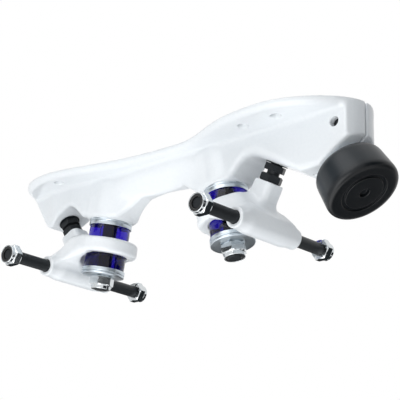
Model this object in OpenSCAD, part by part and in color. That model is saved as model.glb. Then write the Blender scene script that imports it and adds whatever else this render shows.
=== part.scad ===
// Roller skate plate: a cast sole plate with two steering trucks and a toe stop, without wheels.
// X runs from heel to toe, Y to the skate's left and Z up.
// The origin is on the sole face, halfway between the two axles.

/* [Sole flange] */
// Distance between the front and rear axles
wheelbase = 164; // [150:1:190]
// Height of the sole face above the axles
axle_drop = 63; // [60:0.5:68]
// Thickness of the flange
flange_t = 5; // [4:0.5:7]
// Half width across the heel
heel_half = 35.4; // [32:0.2:38]
// Half width across the waist
waist_half = 20.6; // [19:0.2:24]
// Half width across the ball of the foot
ball_half = 39.8; // [36:0.2:42]
// How far the heel end stands behind the rear axle
heel_reach = 37.5; // [34:0.5:42]
// How far the toe end stands ahead of the front axle
toe_reach = 77; // [74:0.5:82]

/* [Sole bolt holes] */
// Diameter of the sole bolt holes
sole_hole_d = 6.6; // [5:0.1:7]
// Distance across each pair of sole bolt holes
sole_pair = 50.8; // [46:0.2:52]
// Distance between the two front pairs
front_rows = 25.4; // [20:0.2:30]
// Rear pair ahead of the rear axle
rear_pair_x = 5; // [2:0.5:8]
// First front pair ahead of the front axle
front_pair_x = 3.5; // [1:0.5:6]

/* [Web] */
// Half width of the web beside the kingpins
web_half = 13; // [12:0.5:14]
// Half width of the heel block
block_half = 16; // [14:0.5:18]
// Half width of the toe block at its end
toe_half = 14.5; // [14:0.5:18]
// Half width of the heel block at its end
heel_tip_half = 9; // [7:0.5:12]
// Half width of the keel's bottom between the trucks
keel_half = 3.5; // [3:0.5:6]
// Where the web starts to narrow to the keel, inboard of the kingpin
keel_start = 4; // [2:0.5:8]
// How far along the web takes to narrow to the keel
keel_taper = 26; // [20:1:30]
// Height of the keel under the sole face
keel_h = 22; // [20:0.5:26]
// Slope of the web's underside from a kingpin boss up to the keel
boss_ramp = 35; // [28:1:45]
// Lean of the heel block's back
heel_back_lean = 33; // [28:1:36]
// Radius on the heel block's low corner
heel_round = 6; // [3:0.5:8]
// Height cut off the toe block's low corner
toe_flat = 4.5; // [3:0.5:5]
// Radius on the corners of the web's outline
web_round = 3; // [1:0.5:4]

/* [Kingpins] */
// Kingpin diameter
king_d = 9.5; // [8:0.5:11]
// Lean of the kingpins from upright, tops towards the waist
king_lean = 10; // [6:1:14]
// Where the kingpin's line crosses axle height, inboard of the axle
king_in = 25.9; // [24:0.1:28]
// Height of the kingpin boss's face above the axle
boss_z = 31.5; // [30:0.5:34]
// Kingpin boss diameter
boss_d = 29.6; // [28:0.4:32]
// Kingpin head across flats
king_head_af = 14.3; // [13:0.1:15]
// Kingpin head thickness
king_head_h = 6; // [5:0.5:7]
// Kingpin nut height over its collar
king_nut_h = 9; // [8:0.5:10]

/* [Cushions and washers] */
// Outer diameter of washers and retainers
washer_d = 28.6; // [27:0.2:30]
// Washer thickness
washer_t = 1.8; // [1.2:0.2:2.4]
// Retainer base thickness
retainer_t = 1.2; // [1:0.2:1.6]
// Height of the retainer's lip
lip_h = 1.4; // [1:0.2:2]
// Wall of the retainer's lip
lip_t = 0.7; // [0.6:0.1:1]
// Height of each cushion
cushion_h = 12; // [11:0.2:14]
// How far a cushion swells at its middle
cushion_swell = 0.4; // [0:0.1:0.6]

/* [Hangers] */
// Thickness of the cushion ring
ring_h = 10; // [9:0.5:13]
// Wall of the cushion ring outside the cushion seat
ring_wall = 6.5; // [5:0.5:8]
// Depth of the cushion seat in each face
seat_h = 1.5; // [1:0.5:2.5]
// Hole in the cushion ring
ring_hole_d = 16; // [14:0.5:18]
// Distance across the hanger's axle bosses
hanger_w = 57.4; // [52:0.2:62]
// Axle boss diameter
arm_d = 13.5; // [12:0.5:16]
// Diameter of the hanger's middle round the axle
middle_d = 15.4; // [14:0.2:17]
// Half width of the hanger's body under the neck
body_half = 16.5; // [15:0.5:18]
// Side of the square pivot neck
neck_w = 15; // [13:0.5:16]
// Radius on the neck's corners
neck_round = 4; // [2:0.5:6]
// Length of the pivot neck down into the hanger
neck_h = 22; // [20:0.5:24]

/* [Axles] */
// Diameter of the wheel stubs
axle_d = 8; // [7:0.5:9]
// Diameter of the part pressed into the hanger
axle_press_d = 8.6; // [8.2:0.2:9.6]
// Pitch diameter of the threads for the axle nuts
axle_thread_d = 7.2; // [6.6:0.1:7.4]
// Length of each bare wheel stub
stub_l = 26.5; // [24:0.5:30]
// Axle nut across flats
axle_nut_af = 12.7; // [12:0.1:14]
// Axle nut height over its collar
axle_nut_h = 8; // [7:0.5:9]

/* [Pivots] */
// Lean of the pivot pins from upright, tops away from the waist
pivot_lean = 28; // [24:1:32]
// Height of the neck's top above the axle
neck_z = 28.7; // [27:0.1:31]
// Neck's top outboard of the axle
neck_out = 4; // [2:0.2:6]
// Gap from the neck's top to the plate, along the pin
pivot_gap = 12.2; // [11:0.1:13.5]
// Pivot pin diameter
pivot_d = 8; // [7:0.5:9]
// Diameter of the pin's ball end
ball_d = 10; // [9:0.5:12]
// Depth of the ball's centre inside the plate
ball_depth = 7; // [6:0.5:9]
// Wall of the pivot cup
cup_wall = 1.6; // [1.4:0.2:3]
// How far the pivot cup's lip stands out of the plate
cup_lip = 0.3; // [0.2:0.1:0.5]
// Pivot lock nut across flats
lock_nut_af = 12.7; // [12.5:0.1:14]
// Pivot lock nut height
lock_nut_h = 5; // [4:0.5:5.5]
// Height of the pin's own hexagon above the lock nut
pin_hex_h = 4; // [3:0.5:4]

/* [Toe stop] */
// Lean of the toe stop from upright, foot forwards
stop_lean = 32; // [28:1:36]
// Middle of the stop's foot ahead of the front axle
stop_x = 74.1; // [72:0.1:76]
// Middle of the stop's foot above the axle
stop_z = 6.2; // [4:0.2:8]
// Radius of the stop near its foot
stop_foot_r = 23.6; // [21:0.2:25]
// Radius of the stop near its top
stop_top_r = 21.5; // [19:0.2:23]
// Height of the rubber
stop_h = 23; // [20:0.5:25]
// Radius round the foot's edge
stop_round = 4.7; // [3:0.1:6]
// Stem diameter
stem_d = 15.9; // [14:0.1:17]
// How much of the stem is in the plate
stem_in = 24; // [20:0.5:25]
// Room above the stem, for screwing the stop in
stem_room = 4.5; // [4:0.5:6]
// Gap between the rubber and the plate
stop_gap = 5.5; // [5:0.5:8]
// Width of the clamp slit in the toe
slit_w = 1.6; // [1:0.2:2.4]
// Pinch bolt diameter
pinch_d = 6; // [5:0.5:6]
// Pinch bolt ahead of the front axle
pinch_x = 63.4; // [62:0.2:65]
// Pinch bolt above the axle
pinch_z = 49.5; // [48:0.5:51]

/* [Hidden] */
$fn = 64;
// Running clearance on radius between parts that turn or slide on each other
run_clear = 0.06;
// Clearance on radius round a fixed bolt
bolt_clear = 0.1;
// Gap between a cushion and the ring that presses it
soft_clear = 0.3;
// Overlap used where a cut has to pass through a face
cut = 1;

rear_x = -wheelbase / 2;
front_x = wheelbase / 2;

// Kingpin line, in a truck's own frame: X inboard from the axle, Z up from it
function king_at(z) = [king_in + z * tan(king_lean), 0, z];
boss_face = king_at(boss_z);
king_head_d = king_head_af / cos(30);
recess_d = king_head_d + 1.6;

// Heights down the kingpin from the boss's face
cushion_d = washer_d - 2 * lip_t - 2 * cushion_swell;
upper_cushion_t = washer_t + retainer_t;
ring_t = upper_cushion_t + cushion_h + soft_clear - seat_h;
lower_cushion_t = ring_t + ring_h - seat_h + soft_clear;
lower_retainer_t = lower_cushion_t + cushion_h;
lower_washer_t = lower_retainer_t + retainer_t;
king_nut_t = lower_washer_t + washer_t;
king_end_t = king_nut_t + king_nut_h + 0.6;
seat_d = cushion_d + 2 * cushion_swell + 0.6;
ring_d = seat_d + 2 * ring_wall;
// The middle of the ring's top face, and where that face ends towards the axle
ring_mid = king_at(boss_z - ring_t * cos(king_lean));
ring_top = ring_mid + ring_d / 2 * [-cos(king_lean), 0, sin(king_lean)];
// The head sits deep enough for its high edge to stay under the sole face
king_head_t = (axle_drop - boss_z) / cos(king_lean) - king_head_h - recess_d / 2 * tan(king_lean) - 0.5;

// Pivot line
pivot_dir = [-sin(pivot_lean), 0, cos(pivot_lean)];
neck_top = [-neck_out, 0, neck_z];
pivot_seat = neck_top + pivot_gap * pivot_dir;
ball_at = neck_top + (pivot_gap + ball_depth) * pivot_dir;
cup_d = ball_d + 2 * run_clear + 2 * cup_wall;
cup_floor = ball_depth + ball_d / 2 + run_clear + cup_wall;

// Toe stop line, in a frame with its origin under the sole face at the front axle
stop_dir = [-sin(stop_lean), 0, cos(stop_lean)];
stop_foot = [stop_x, 0, stop_z];
stop_seat = stop_foot + (stop_h + stop_gap) * stop_dir;
stem_base_h = 3;
stem_base_r = 13;
stem_base_at = 12;
stop_cap_h = 1.6;
stop_cap_r = 15;

// Axle ends
axle_half = hanger_w / 2 + stub_l + axle_nut_h - 1;
axle_nut_at = hanger_w / 2 + stub_l;

// A point on a cubic curve through four control points
function cubic(p, t) =
    pow(1 - t, 3) * p[0] + 3 * t * pow(1 - t, 2) * p[1] + 3 * t * t * (1 - t) * p[2] + pow(t, 3) * p[3];

// Corner p rounded between its neighbours a and b, as points on an arc
function corner(a, p, b, r, steps = 6) =
    let (
        u = (a - p) / norm(a - p),
        v = (b - p) / norm(b - p),
        half = acos(u * v) / 2,
        mid = (u + v) / norm(u + v),
        centre = p + mid * r / sin(half),
        start = p + u * r / tan(half) - centre,
        end = p + v * r / tan(half) - centre,
        turn = 180 - 2 * half,
        side = start[0] * end[1] - start[1] * end[0] > 0 ? 1 : -1
    )
    [for (i = [0:steps])
        let (s = side * turn * i / steps)
        centre + [start[0] * cos(s) - start[1] * sin(s), start[0] * sin(s) + start[1] * cos(s)]];

// A closed outline whose corners [x, y, radius] are rounded
function rounded(pts) =
    let (n = len(pts))
    [for (i = [0:n - 1])
        let (a = pts[(i + n - 1) % n], p = pts[i], b = pts[(i + 1) % n])
        each (p[2] > 0
            ? corner([a[0], a[1]], [p[0], p[1]], [b[0], b[1]], p[2])
            : [[p[0], p[1]]])];

// The sole's left edge from heel to toe, as four curves that share their tangents
heel_wide_x = rear_x + 4;
waist_x = rear_x + 108;
ball_x = front_x + 26;
heel_end_x = rear_x - heel_reach;
toe_end_x = front_x + toe_reach;
edge_curves = [
    [[heel_end_x, 0], [heel_end_x, heel_half * 0.6], [heel_wide_x - 25, heel_half], [heel_wide_x, heel_half]],
    [[heel_wide_x, heel_half], [heel_wide_x + 28, heel_half],
        [waist_x - 62, waist_half], [waist_x, waist_half]],
    [[waist_x, waist_half], [waist_x + 26, waist_half], [ball_x - 48, ball_half], [ball_x, ball_half]],
    [[ball_x, ball_half], [ball_x + 22, ball_half], [toe_end_x, ball_half * 0.5], [toe_end_x, 0]]
];
edge_steps = 14;
left_edge = [for (c = edge_curves) for (i = [0:edge_steps - 1]) cubic(c, i / edge_steps)];
right_edge = [for (i = [len(left_edge) - 1:-1:1]) [left_edge[i][0], -left_edge[i][1]]];
sole_outline = concat(left_edge, [[toe_end_x, 0]], right_edge);

// Side view of the web: [x, z, radius], heel to toe along the underside and back inside the flange
under_rise = tan(pivot_lean);
stop_rise = tan(stop_lean);
seat_x = -pivot_seat[0];
arch_in = 4.5;
arch_round = 9;
arch_z = pivot_seat[2] + (arch_in + seat_x) * under_rise;
boss_side = boss_d / 2 * cos(king_lean);
boss_drop = boss_d / 2 * sin(king_lean);
boss_proud = 0.6;
heel_back_x = heel_reach - 3;
heel_rise = 1 / tan(heel_back_lean);
heel_low_x = (heel_back_x * heel_rise - axle_drop + flange_t + pivot_seat[2] + seat_x * under_rise)
    / (heel_rise + under_rise);
heel_low_z = pivot_seat[2] + (seat_x - heel_low_x) * under_rise;
toe_low_x = (pivot_seat[2] + seat_x * under_rise - stop_seat[2] + stop_seat[0] * stop_rise)
    / (stop_rise + under_rise);
toe_low_z = pivot_seat[2] + (seat_x - toe_low_x) * under_rise;
toe_flat_z = toe_low_z + toe_flat;
toe_flat_from = toe_low_x - toe_flat / under_rise;
toe_flat_to = toe_low_x + toe_flat / stop_rise;
toe_front_z = stop_seat[2] + (toe_reach + cut - stop_seat[0]) * stop_rise;
keel_from = boss_face[0] + boss_side + (axle_drop - keel_h - boss_z + boss_drop) / tan(boss_ramp);
truck_under = [
    [arch_in, arch_z, arch_round],
    [boss_face[0] - boss_side, boss_z + boss_drop + boss_proud, 0],
    [boss_face[0] + boss_side, boss_z - boss_drop + boss_proud, 0],
    [keel_from, axle_drop - keel_h, web_round]
];
web_side = concat(
    [[rear_x - heel_back_x, -flange_t / 2, 0],
     [rear_x - heel_back_x, -flange_t, 0],
     [rear_x - heel_low_x, heel_low_z - axle_drop, heel_round]],
    [for (p = truck_under) [rear_x + p[0], p[1] - axle_drop, p[2]]],
    [for (i = [3:-1:0]) let (p = truck_under[i]) [front_x - p[0], p[1] - axle_drop, p[2]]],
    [[front_x + toe_flat_from, toe_flat_z - axle_drop, web_round],
     [front_x + toe_flat_to, toe_flat_z - axle_drop, web_round],
     [front_x + toe_reach + cut, toe_front_z - axle_drop, 0],
     [front_x + toe_reach + cut, -flange_t / 2, 0]]
);

// Plan view of the web: wide at the pivots and the toe, narrow between the trucks
ridge_x = rear_x + 8;
web_plan = rounded([
    [heel_end_x - cut, heel_tip_half, 0],
    [ridge_x, block_half, 1],
    [rear_x + 38, web_half, 20],
    [front_x - 20, web_half, 30],
    [front_x + toe_reach + cut, toe_half, 0],
    [front_x + toe_reach + cut, -toe_half, 0],
    [front_x - 20, -web_half, 30],
    [rear_x + 38, -web_half, 20],
    [ridge_x, -block_half, 1],
    [heel_end_x - cut, -heel_tip_half, 0]
]);

ENDS = ["front", "rear"];
SIDES = ["left", "right"];

// Colours of the finishes
paint_white = [0.93, 0.95, 0.96];
black_steel = [0.12, 0.13, 0.14];
zinc = [0.73, 0.79, 0.81];
bright_steel = [0.80, 0.82, 0.84];
nylon_black = [0.07, 0.07, 0.08];
urethane_blue = [0.18, 0.12, 0.62];
rubber_black = [0.16, 0.17, 0.18];

// Puts a truck's own frame, X inboard and Z up from the axle, at one end of the plate
module at_truck(end) {
    if (end == "front")
        translate([front_x, 0, -axle_drop]) mirror([1, 0, 0]) children();
    else
        translate([rear_x, 0, -axle_drop]) children();
}

// Along the kingpin: Z runs up it from the boss's face
module along_king() {
    translate(boss_face) rotate([0, king_lean, 0]) children();
}

// Along the pivot pin: Z runs up it from the neck's top
module along_pivot() {
    translate(neck_top) rotate([0, -pivot_lean, 0]) children();
}

// Along the toe stop: Z runs up its stem from the middle of its foot
module along_stop() {
    translate([front_x, 0, -axle_drop]) translate(stop_foot) rotate([0, -stop_lean, 0]) children();
}

// A round bar between two heights
module bar(d, from, to) {
    translate([0, 0, from]) cylinder(d = d, h = to - from);
}

// A hexagonal bar between two heights, a flat facing Y
module hex_bar(af, from, to) {
    translate([0, 0, from]) cylinder(d = af / cos(30), h = to - from, $fn = 6);
}

// A flat ring between two heights
module ring(outer_d, inner_d, from, to) {
    difference() {
        bar(outer_d, from, to);
        bar(inner_d, from - cut, to + cut);
    }
}

// Hexagonal nut with a round collar that holds a nylon ring. Its collar points up Z.
insert_h = 2;
collar_wall = 0.7;
function collar_d(af) = af * 0.94;
function insert_d(af) = collar_d(af) - 2 * collar_wall;
module lock_nut(af, bore, h) {
    collar_h = 2.6;
    difference() {
        union() {
            intersection() {
                hex_bar(af, 0, h - collar_h);
                cylinder(d1 = af * 1.02, d2 = af * 1.02 + 2 * h, h = h);
                cylinder(d1 = af * 1.04 + 2 * (h - collar_h), d2 = af * 1.04, h = h - collar_h);
            }
            bar(collar_d(af), h - collar_h - 0.5, h);
        }
        bar(bore, -cut, h + cut);
        bar(insert_d(af), h - insert_h, h + cut);
    }
}

module nut_insert(af, bore, h) {
    ring(insert_d(af), bore, h - insert_h, h - 0.3);
}

// Plate
module sole_flange() {
    translate([0, 0, -flange_t]) linear_extrude(flange_t) polygon(sole_outline);
}

module web_block() {
    intersection() {
        translate([0, block_half + cut, 0]) rotate([90, 0, 0])
            linear_extrude(2 * (block_half + cut)) polygon(rounded(web_side));
        translate([0, 0, -axle_drop]) linear_extrude(axle_drop) polygon(web_plan);
        translate([0, 0, -axle_drop]) linear_extrude(axle_drop) polygon(sole_outline);
    }
}

// Takes the web down to a thin keel between the trucks, on one side
module keel_cut(side) {
    far = wheelbase / 2 - boss_face[0] - keel_start;
    near = far - keel_taper;
    outer = block_half + cut;
    intersection() {
        translate([-far, 0, 0]) rotate([90, 0, 90]) linear_extrude(2 * far)
            polygon([
                [side * outer, -flange_t - 1],
                [side * outer, -axle_drop],
                [side * keel_half, -axle_drop],
                [side * keel_half, -keel_h + 1]
            ]);
        translate([0, 0, -axle_drop]) linear_extrude(axle_drop)
            polygon([
                [-far, side * outer],
                [-near, side * (keel_half - cut)],
                [near, side * (keel_half - cut)],
                [far, side * outer]
            ]);
    }
}

module king_boss() {
    along_king() bar(boss_d, 0, (axle_drop - flange_t - boss_z) / cos(king_lean));
}

module king_holes() {
    along_king() {
        bar(king_d + 2 * bolt_clear, -cut, axle_drop);
        bar(recess_d, king_head_t, axle_drop);
    }
}

module pivot_hole() {
    along_pivot() bar(cup_d, pivot_gap - cut, pivot_gap + cup_floor);
}

module stem_hole() {
    stem_from = stop_h + stop_gap;
    along_stop() bar(stem_d + 2 * run_clear, stem_from - cut, stem_from + stem_in + stem_room);
}

module toe_slit() {
    reach = stop_seat[0] - (stem_in + stem_room) * sin(stop_lean) - 6;
    translate([front_x + reach, -slit_w / 2, -axle_drop]) cube([toe_reach, slit_w, axle_drop + cut]);
}

pinch_head_d = pinch_d + 4;
pinch_head_h = pinch_d;
pinch_head_at = toe_half - pinch_head_h - 2;
pinch_end = -toe_half + 4;
module at_pinch() {
    translate([front_x + pinch_x, 0, pinch_z - axle_drop]) rotate([-90, 0, 0]) children();
}

module pinch_hole() {
    at_pinch() {
        bar(pinch_d + 2 * bolt_clear, -block_half - cut, block_half);
        bar(pinch_head_d + 1, pinch_head_at, block_half + cut);
    }
}

module sole_holes() {
    rows = [rear_x + rear_pair_x, front_x + front_pair_x, front_x + front_pair_x + front_rows];
    for (x = rows, y = [-sole_pair / 2, sole_pair / 2])
        translate([x, y, 0]) bar(sole_hole_d, -flange_t - cut, cut);
}

module plate() {
    color(paint_white) difference() {
        union() {
            sole_flange();
            difference() {
                web_block();
                for (side = [-1, 1]) keel_cut(side);
            }
            for (e = ENDS) at_truck(e) king_boss();
        }
        for (e = ENDS) at_truck(e) {
            king_holes();
            pivot_hole();
        }
        stem_hole();
        toe_slit();
        pinch_hole();
        sole_holes();
    }
}

// Trucks
module hanger() {
    color(paint_white) difference() {
        union() {
            rotate([90, 0, 0]) translate([0, 0, -hanger_w / 2]) cylinder(d = arm_d, h = hanger_w);
            for (s = [0, 180]) rotate([-90, 0, s]) {
                cylinder(d = middle_d, h = body_half);
                translate([0, 0, body_half])
                    cylinder(d1 = middle_d, d2 = arm_d, h = hanger_w / 2 - body_half - arm_end);
            }
            hanger_body();
            along_king() {
                bar(ring_d, -ring_t - ring_h, -ring_t);
                translate([0, 0, -ring_t - ring_h]) linear_extrude(ring_h) yoke_plan();
            }
            along_pivot() translate([0, 0, -neck_h]) linear_extrude(neck_h) neck_plan();
            gusset();
        }
        along_king() {
            bar(ring_hole_d, -axle_drop, cut);
            bar(seat_d, -ring_t - seat_h, cut);
            bar(seat_d, -axle_drop, -ring_t - ring_h + seat_h);
            translate([0, 0, -ring_t - ring_h - swing_h])
                cylinder(r1 = swing_r + swing_h * swing_grow, r2 = swing_r, h = swing_h);
        }
        along_pivot() bar(pivot_d, -pivot_sunk, cut);
        rotate([90, 0, 0]) bar(axle_press_d, -hanger_w, hanger_w);
    }
}

// The hanger's body fills the corner between axle tube, neck and ring. Its flanks, seen from the front, curve
// from the ring down to the axle bosses. Its side view is the other outline.
arm_end = 5;
body_in = 21;
ring_low = ring_mid[2] - ring_h / cos(king_lean) + (ring_mid[0] - body_in) * tan(king_lean);
body_top = ring_top[2] + 1;
flank_steps = 10;
flank = [for (i = [0:flank_steps])
    cubic([
        [hanger_w / 2 - 3.2, 2],
        [body_half + 5, arm_d * 0.6],
        [body_half + 3.5, body_top * 0.75],
        [body_half - 7, body_top]
    ], i / flank_steps)];
body_front = concat(flank, [for (i = [flank_steps:-1:0]) [-flank[i][0], flank[i][1]]]);
body_side = rounded([
    [-arm_d / 2 + 0.3, 0, 0],
    [-arm_d / 2 + 0.7, arm_d * 0.42, 2],
    [-arm_d * 0.18, arm_d * 0.88, 3],
    [ring_top[0], ring_top[2] - 0.8, 0],
    [body_in, ring_top[2] - 3, 0],
    [body_in, ring_low - 1.2, 0],
    [arm_d / 2 - 0.1, -1, 0],
    [0, -1, 0]
]);
module hanger_body() {
    intersection() {
        translate([-arm_d, 0, 0]) rotate([90, 0, 90]) linear_extrude(3 * arm_d) polygon(body_front);
        translate([0, hanger_w / 2, 0]) rotate([90, 0, 0]) linear_extrude(hanger_w) polygon(body_side);
    }
}

// Room for the lower cushion and its washers, wider further down because the hanger swings there
swing_r = 15.3;
swing_h = 20;
swing_grow = 0.18;

// A gusset runs from the neck's top straight down to the ring, on the side of the kingpin
gusset_half = neck_w / 2 - 1.2;
gusset_top = neck_top + [cos(pivot_lean), 0, sin(pivot_lean)] * (neck_w / 2 - 0.4) - pivot_dir;
gusset_foot = ring_top + [cos(king_lean), 0, -sin(king_lean)] * 3 - [0, 0, 0.5];
module gusset() {
    low = gusset_foot - [0, 0, ring_h / 2];
    back = neck_top - 8 * pivot_dir;
    translate([0, gusset_half, 0]) rotate([90, 0, 0]) linear_extrude(2 * gusset_half)
        polygon([
            [gusset_top[0], gusset_top[2]],
            [back[0], back[2]],
            [low[0] - 6, low[2]],
            [low[0], low[2]],
            [gusset_foot[0], gusset_foot[2]]
        ]);
}

// The yoke that joins the cushion ring to the hanger's body, seen down the kingpin
module yoke_plan() {
    polygon(rounded([
        [0, ring_d / 2 * 0.94, 0],
        [-king_in + arm_end, body_half, 8],
        [-king_in + arm_end, -body_half, 8],
        [0, -ring_d / 2 * 0.94, 0]
    ]));
}

module neck_plan() {
    h = neck_w / 2;
    polygon(rounded([[-h, -h, neck_round], [h, -h, neck_round], [h, h, neck_round], [-h, h, neck_round]]));
}

module axle() {
    color(black_steel) rotate([90, 0, 0]) {
        bar(axle_thread_d, -axle_half, axle_half);
        bar(axle_d, -axle_nut_at, axle_nut_at);
        bar(axle_press_d, -hanger_w / 2, hanger_w / 2);
    }
}

// Puts a nut's own frame on one axle end, Z outwards
module at_axle_end(side) {
    rotate([side == "left" ? -90 : 90, 0, 0]) translate([0, 0, axle_nut_at]) children();
}

axle_nut_bore = axle_thread_d + 2 * run_clear;
module axle_nut(side) {
    color(bright_steel) at_axle_end(side) lock_nut(axle_nut_af, axle_nut_bore, axle_nut_h);
}

module axle_nut_insert(side) {
    color(nylon_black) at_axle_end(side) nut_insert(axle_nut_af, axle_nut_bore, axle_nut_h);
}

pivot_sunk = 12;
module pivot_pin() {
    shank = pivot_gap + ball_depth;
    color(black_steel) along_pivot() {
        bar(pivot_d, -pivot_sunk, shank);
        hex_bar(lock_nut_af - 0.7, pivot_gap - 1 - pin_hex_h, pivot_gap - 1);
        translate([0, 0, shank]) sphere(d = ball_d);
    }
}

module pivot_lock_nut() {
    color(black_steel) along_pivot() difference() {
        hex_bar(lock_nut_af, 0, lock_nut_h);
        bar(pivot_d, -cut, lock_nut_h + cut);
    }
}

module pivot_cup() {
    socket_d = ball_d + 2 * run_clear;
    color(rubber_black) along_pivot() difference() {
        union() {
            bar(cup_d, pivot_gap, pivot_gap + cup_floor);
            bar(cup_d + 1, pivot_gap - cup_lip, pivot_gap);
        }
        bar(socket_d, pivot_gap - cup_lip - cut, pivot_gap + ball_depth);
        translate([0, 0, pivot_gap + ball_depth]) sphere(d = socket_d);
    }
}

module kingpin() {
    color(black_steel) along_king() {
        bar(king_d, -king_end_t, king_head_t + cut);
        hex_bar(king_head_af, king_head_t, king_head_t + king_head_h);
    }
}

king_nut_af = king_head_af;
module on_king_nut() {
    along_king() translate([0, 0, -king_nut_t]) mirror([0, 0, 1]) children();
}

module kingpin_nut() {
    color(bright_steel) on_king_nut() lock_nut(king_nut_af, king_d, king_nut_h);
}

module kingpin_nut_insert() {
    color(nylon_black) on_king_nut() nut_insert(king_nut_af, king_d, king_nut_h);
}

washer_hole_d = king_d + 2 * bolt_clear;
module upper_washer() {
    color(zinc) along_king() ring(washer_d, washer_hole_d, -washer_t, 0);
}

module lower_washer() {
    color(zinc) along_king() ring(washer_d, washer_hole_d, -king_nut_t, -lower_washer_t);
}

// A shallow cup: its base is at Z = 0 and its lip points down
module retainer() {
    difference() {
        bar(washer_d, -retainer_t - lip_h, 0);
        bar(washer_d - 2 * lip_t, -retainer_t - lip_h - cut, -retainer_t);
        bar(washer_hole_d, -retainer_t - cut, cut);
    }
}

module upper_retainer() {
    color(zinc) along_king() translate([0, 0, -washer_t]) retainer();
}

module lower_retainer() {
    color(zinc) along_king() translate([0, 0, -lower_washer_t]) mirror([0, 0, 1]) retainer();
}

// A barrel cushion that hangs from Z = 0: narrow at both ends, swollen at the middle
module cushion() {
    steps = 10;
    side = [for (i = [0:steps])
        let (t = i / steps)
        [cushion_d / 2 + cushion_swell * sin(180 * t), -cushion_h * t]];
    rotate_extrude()
        polygon(concat([[washer_hole_d / 2, 0]], side, [[washer_hole_d / 2, -cushion_h]]));
}

module upper_cushion() {
    color(urethane_blue) along_king() translate([0, 0, -upper_cushion_t]) cushion();
}

module lower_cushion() {
    color(urethane_blue) along_king() translate([0, 0, -lower_cushion_t]) cushion();
}

// Toe stop
module toe_stop_rubber() {
    foot = [for (i = [0:6])
        let (a = 90 * i / 6)
        [stop_foot_r - stop_round * (1 - sin(a)), stop_round * (1 - cos(a))]];
    top_round = 4;
    top = [for (i = [0:6])
        let (a = 90 * i / 6)
        [stop_top_r - top_round * (1 - cos(a)), stop_h - top_round * (1 - sin(a))]];
    color(rubber_black) along_stop() difference() {
        rotate_extrude() polygon(concat([[0, 0]], foot, top, [[0, stop_h]]));
        ring(2 * stop_groove_r + stop_groove_w, 2 * stop_groove_r - stop_groove_w, -cut, stop_groove_h);
        bar(2 * stop_dimple_r, -cut, stop_dimple_h);
        bar(stem_d, stem_base_at, stop_h + cut);
        bar(2 * stem_base_r, stem_base_at, stem_base_at + stem_base_h);
    }
}

stop_groove_r = 13.5;
stop_groove_w = 2.4;
stop_groove_h = 1.2;
stop_dimple_r = 3.2;
stop_dimple_h = 2.5;

module toe_stop_stem() {
    color(bright_steel) along_stop() {
        bar(2 * stem_base_r, stem_base_at, stem_base_at + stem_base_h);
        bar(stem_d, stem_base_at, stop_h + stop_gap + stem_in);
    }
}

module toe_stop_cap() {
    color(zinc) along_stop() ring(2 * stop_cap_r, stem_d, stop_h, stop_h + stop_cap_h);
}

module pinch_bolt() {
    color(black_steel) at_pinch() difference() {
        union() {
            bar(pinch_d, pinch_end, pinch_head_at + cut);
            bar(pinch_head_d, pinch_head_at, pinch_head_at + pinch_head_h);
        }
        hex_bar(pinch_d * 0.83, pinch_head_at + pinch_head_h / 2, pinch_head_at + pinch_head_h + cut);
    }
}

plate();
for (e = ENDS) at_truck(e) {
    hanger();
    axle();
    pivot_pin();
    pivot_lock_nut();
    pivot_cup();
    kingpin();
    kingpin_nut();
    kingpin_nut_insert();
    upper_washer();
    upper_retainer();
    upper_cushion();
    lower_cushion();
    lower_retainer();
    lower_washer();
    for (s = SIDES) {
        axle_nut(s);
        axle_nut_insert(s);
    }
}
toe_stop_rubber();
toe_stop_stem();
toe_stop_cap();
pinch_bolt();
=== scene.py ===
# %% [markdown]
# # A roller skate plate
# The object is the undercarriage of a quad roller skate: a white cast plate that bolts under a boot,
# two trucks that steer when the skater leans, and a rubber toe stop. The wheels are not on it.
# The CAD model gives every piece its place and size. This script dresses it: castings with real
# fillets, turned and hexagonal hardware, see-through cushions, and a finish for each material.

# %% Load the frame
import math

import bpy
import numpy as np
from mathutils import Matrix, Vector


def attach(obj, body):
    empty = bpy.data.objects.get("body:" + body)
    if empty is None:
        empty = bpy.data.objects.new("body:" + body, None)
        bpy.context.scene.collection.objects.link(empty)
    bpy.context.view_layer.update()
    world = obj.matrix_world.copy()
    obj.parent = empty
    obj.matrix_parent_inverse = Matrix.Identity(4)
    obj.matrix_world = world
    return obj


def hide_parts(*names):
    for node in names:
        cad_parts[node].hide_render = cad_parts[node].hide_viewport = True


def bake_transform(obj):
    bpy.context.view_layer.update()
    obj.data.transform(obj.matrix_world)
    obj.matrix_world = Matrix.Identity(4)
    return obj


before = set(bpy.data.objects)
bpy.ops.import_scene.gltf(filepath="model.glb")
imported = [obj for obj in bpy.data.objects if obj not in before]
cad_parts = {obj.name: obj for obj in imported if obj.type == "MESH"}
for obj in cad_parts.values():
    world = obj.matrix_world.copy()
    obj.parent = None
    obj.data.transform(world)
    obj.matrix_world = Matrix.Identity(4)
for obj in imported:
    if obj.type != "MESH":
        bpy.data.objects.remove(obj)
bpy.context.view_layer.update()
print(len(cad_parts), "CAD nodes")

# %% [markdown]
# ## Measures
# Sizes are in millimetres. Most repeat the ones that the CAD model is built from; edge roundings, fillets
# and the shape of the heel block are a little fuller here. A truck has a frame of its own: x inboard from
# its axle, y to the skate's left, z up from the axle. The rear truck sits in the plate's frame as it is,
# and the front truck is its mirror image, so one set of sizes serves both.

# %% Lines that the pieces sit on
MM = 0.001
ENDS = ("front", "rear")
SIDES = {"left": 1.0, "right": -1.0}
WHEELBASE, AXLE_DROP = 164.0, 63.0
REAR_X, FRONT_X = -WHEELBASE / 2, WHEELBASE / 2
KING_LEAN, PIVOT_LEAN, STOP_LEAN = (math.radians(a) for a in (10.0, 28.0, 32.0))

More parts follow.
